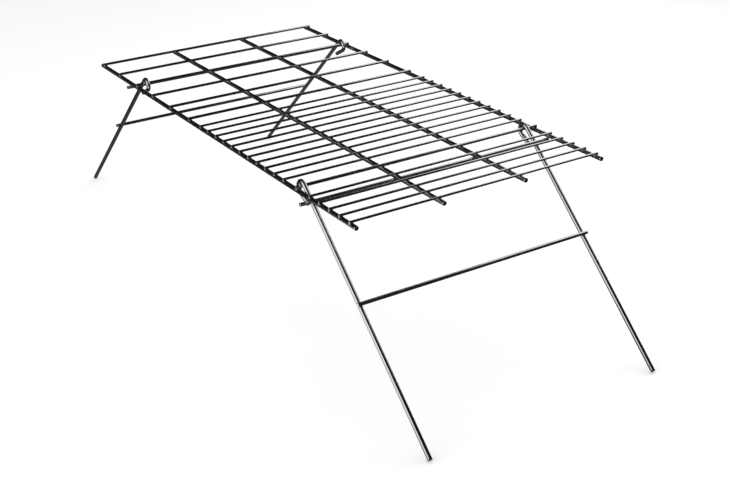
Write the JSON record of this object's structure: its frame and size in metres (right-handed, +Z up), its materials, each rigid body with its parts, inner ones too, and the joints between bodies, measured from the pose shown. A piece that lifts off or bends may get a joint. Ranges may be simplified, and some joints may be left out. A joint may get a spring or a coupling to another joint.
{
  "type": "folding camp grill grate",
  "caption": "Rectangular grate of welded chrome wire that stands over a fire on splayed wire leg frames, hooked on pivot wires so that they fold flat under it.",
  "frame": {"origin": "on the ground, in the middle between the four feet, with the legs open", "axes": "+X along the long rods from the widely spaced far end to the near end, +Y along the cross wires from the left rod to the right, +Z up"},
  "size_m": [0.8328, 0.3176, 0.2071],
  "materials": {
    "long_rods": "bright chrome plate on drawn steel rod",
    "cross_wires": "bright chrome plate on thin drawn steel wire",
    "pivot_wires": "bright chrome plate on drawn steel wire",
    "legs": "bright chrome plate on bent steel rod",
    "leg_bars": "bright chrome plate on drawn steel wire"
  },
  "bodies": {
    "grate": {"long_rod_1": "long_rods", "long_rod_2": "long_rods", "long_rod_3": "long_rods", "long_rod_4": "long_rods", "cross_wire_01": "cross_wires", "cross_wire_02": "cross_wires", "cross_wire_03": "cross_wires", "cross_wire_04": "cross_wires", "cross_wire_05": "cross_wires", "cross_wire_06": "cross_wires", "cross_wire_07": "cross_wires", "cross_wire_08": "cross_wires", "cross_wire_09": "cross_wires", "cross_wire_10": "cross_wires", "cross_wire_11": "cross_wires", "cross_wire_12": "cross_wires", "cross_wire_13": "cross_wires", "cross_wire_14": "cross_wires", "cross_wire_15": "cross_wires", "cross_wire_16": "cross_wires", "cross_wire_17": "cross_wires", "cross_wire_18": "cross_wires", "cross_wire_19": "cross_wires", "cross_wire_20": "cross_wires", "cross_wire_21": "cross_wires", "far_pivot_wire": "pivot_wires", "near_pivot_wire": "pivot_wires"},
    "near_leg_frame": {"near_leg_left": "legs", "near_leg_right": "legs", "near_stop_bar": "leg_bars", "near_brace": "leg_bars"},
    "far_leg_frame": {"far_leg_left": "legs", "far_leg_right": "legs", "far_stop_bar": "leg_bars", "far_brace": "leg_bars"}
  },
  "joints": [
    {"name": "near_leg_fold", "type": "hinge", "parent": "grate", "child": "near_leg_frame", "pos_m": [0.19465, 0, 0.20006], "axis": [0, 1, 0], "range_deg": [0, 137]},
    {"name": "far_leg_fold", "type": "hinge", "parent": "grate", "child": "far_leg_frame", "pos_m": [-0.19465, 0, 0.20006], "axis": [0, -1, 0], "range_deg": [0, 135]}
  ]
}
